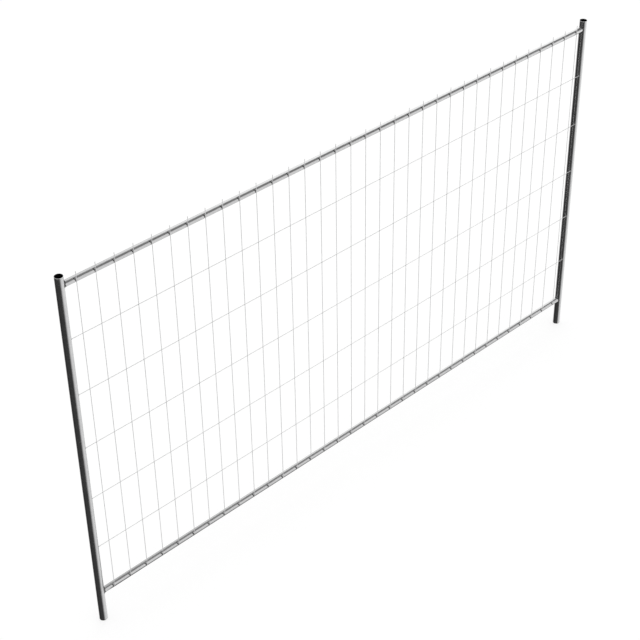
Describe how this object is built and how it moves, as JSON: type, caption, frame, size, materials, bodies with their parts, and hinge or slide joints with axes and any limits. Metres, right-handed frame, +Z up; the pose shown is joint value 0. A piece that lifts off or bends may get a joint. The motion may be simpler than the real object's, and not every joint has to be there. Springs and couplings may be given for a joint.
{
  "type": "temporary fence panel",
  "caption": "Welded steel fence panel for sites and events: open-ended round posts joined by tubular rails, with a welded wire mesh on the front.",
  "frame": {"origin": "centre of the left post's foot, on the plane of its cut end", "axes": "+X along the panel from the left post to the right post, +Z up along the posts, -Y towards the side that carries the wires"},
  "size_m": [3.486, 0.0398, 1.99],
  "materials": {
    "galvanised_tube": "satin galvanised steel tube, neutral grey",
    "galvanised_wire": "drawn galvanised wire, neutral grey",
    "weld_metal": "matt weld bead under zinc"
  },
  "bodies": {
    "root": {"left_post": "galvanised_tube", "right_post": "galvanised_tube", "top_rail": "galvanised_tube", "bottom_rail": "galvanised_tube", "wire_mesh": "galvanised_wire", "top_left_weld": "weld_metal", "top_right_weld": "weld_metal", "bottom_left_weld": "weld_metal", "bottom_right_weld": "weld_metal"}
  },
  "joints": []
}
